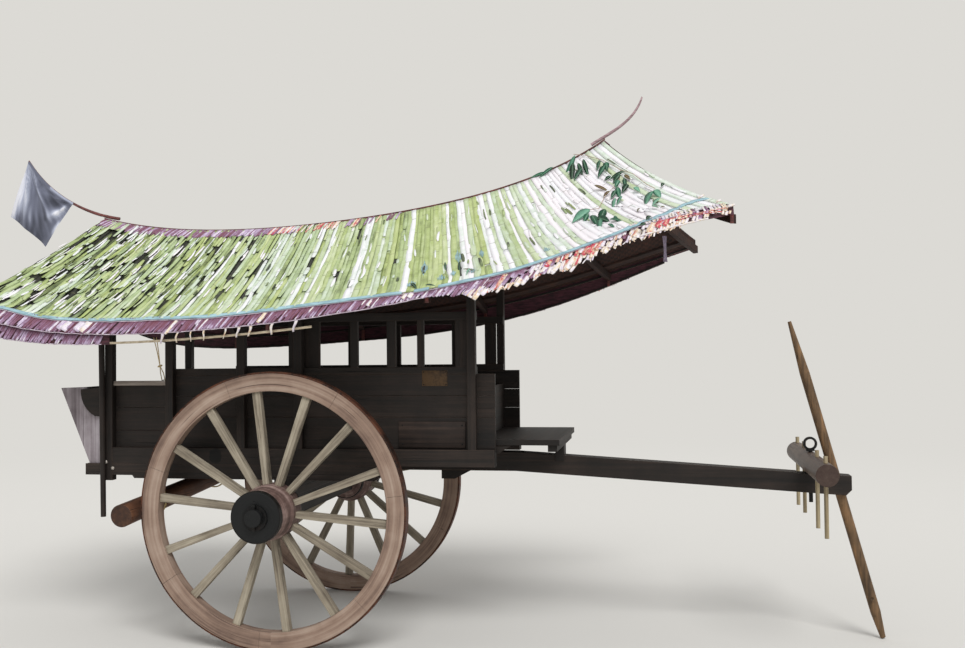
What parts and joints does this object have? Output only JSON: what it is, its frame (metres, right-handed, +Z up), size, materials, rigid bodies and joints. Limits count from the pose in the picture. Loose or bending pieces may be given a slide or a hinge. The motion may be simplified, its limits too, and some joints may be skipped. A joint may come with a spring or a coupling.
{
  "type": "two-wheeled bullock cart with saddle roof",
  "caption": "Two-wheeled wooden bullock cart: spoked wheels on a fixed axle, plank body with window bays, saddle-shaped bamboo roof, draught pole, yoke and prop stake.",
  "frame": {"origin": "on the ground under the middle of the whole length, on the centre line", "axes": "+X forward along the draught pole, +Y to the cart's left, +Z up"},
  "size_m": [5.3197, 1.944, 3.0579],
  "materials": {
    "dark_wood": "oiled and smoke-dark, weathered",
    "felloe_wood": "weathered, grey-brown",
    "spoke_wood": "weathered, khaki grey",
    "nave_wood": "turned, weathered",
    "pole_wood": "debarked round wood",
    "grey_board": "sun-bleached board",
    "split_bamboo": "split strips, sun-bleached",
    "iron_tyre": "worn iron hoop",
    "forged_iron": "forged, rust-brown",
    "cane": "thin cane",
    "rope": "laid fibre rope",
    "flag_cloth": "thin woven cloth",
    "purple_band": "painted woven strip"
  },
  "bodies": {
    "cart": {"axle_beam": "dark_wood", "axle_bolster": "dark_wood", "axle_washers": "forged_iron", "balusters": "dark_wood", "cap_rails": "dark_wood", "draught_pole": "dark_wood", "eave_band_left": "purple_band", "eave_band_right": "purple_band", "eave_laths": "cane", "eave_pegs": "cane", "flag": "flag_cloth", "flag_whip": "cane", "floor_planks": "dark_wood", "front_board": "dark_wood", "front_platform": "dark_wood", "front_whip": "cane", "joists": "dark_wood", "linchpins": "forged_iron", "middle_rails": "dark_wood", "platform_braces": "dark_wood", "pole_blocks": "dark_wood", "posts_left": "dark_wood", "posts_right": "dark_wood", "rafters": "dark_wood", "rear_stick": "dark_wood", "ridge_cane": "cane", "ridge_cap": "purple_band", "ridge_pole": "dark_wood", "roof_laths": "cane", "roof_skin_left": "split_bamboo", "roof_skin_right": "split_bamboo", "runners": "dark_wood", "side_panel": "dark_wood", "sills": "dark_wood", "sling_pegs": "dark_wood", "tail_brackets": "dark_wood", "tail_wings": "grey_board", "tailboard": "dark_wood", "tie_beams": "dark_wood", "wall_planks_left": "dark_wood", "wall_planks_right": "dark_wood", "wall_plates": "dark_wood", "window_heads": "dark_wood", "yoke_pin": "forged_iron"},
    "wheel_right": {"nave_right": "nave_wood", "spokes_right": "spoke_wood", "felloes_right": "felloe_wood", "tyre_right": "iron_tyre", "nave_bands_right": "forged_iron"},
    "wheel_left": {"nave_left": "nave_wood", "spokes_left": "spoke_wood", "felloes_left": "felloe_wood", "tyre_left": "iron_tyre", "nave_bands_left": "forged_iron"},
    "yoke": {"yoke_beam": "pole_wood", "yoke_neck_pins": "pole_wood"},
    "prop": {"prop_stake": "pole_wood", "stake_peg": "pole_wood"},
    "brake": {"brake_log": "pole_wood", "brake_slings": "rope"}
  },
  "joints": [
    {"name": "wheel_right_spin", "type": "hinge", "parent": "cart", "child": "wheel_right", "pos_m": [-0.611, -0.7, 0.75], "axis": [0, 1, 0], "continuous": true},
    {"name": "wheel_left_spin", "type": "hinge", "parent": "cart", "child": "wheel_left", "pos_m": [-0.611, 0.7, 0.75], "axis": [0, 1, 0], "continuous": true},
    {"name": "prop_slide", "type": "slide", "parent": "cart", "child": "prop", "axis": [-0.2588, 0, 0.9659], "range_m": [0, 0.34]},
    {"name": "yoke_swivel", "type": "hinge", "parent": "cart", "child": "yoke", "pos_m": [2.272, 0, 0.961], "axis": [0, 0, 1], "range_deg": [-12, 12]},
    {"name": "brake_swing", "type": "hinge", "parent": "cart", "child": "brake", "pos_m": [-1.453, 0, 1], "axis": [0, 1, 0], "range_deg": [-4, 15]}
  ]
}
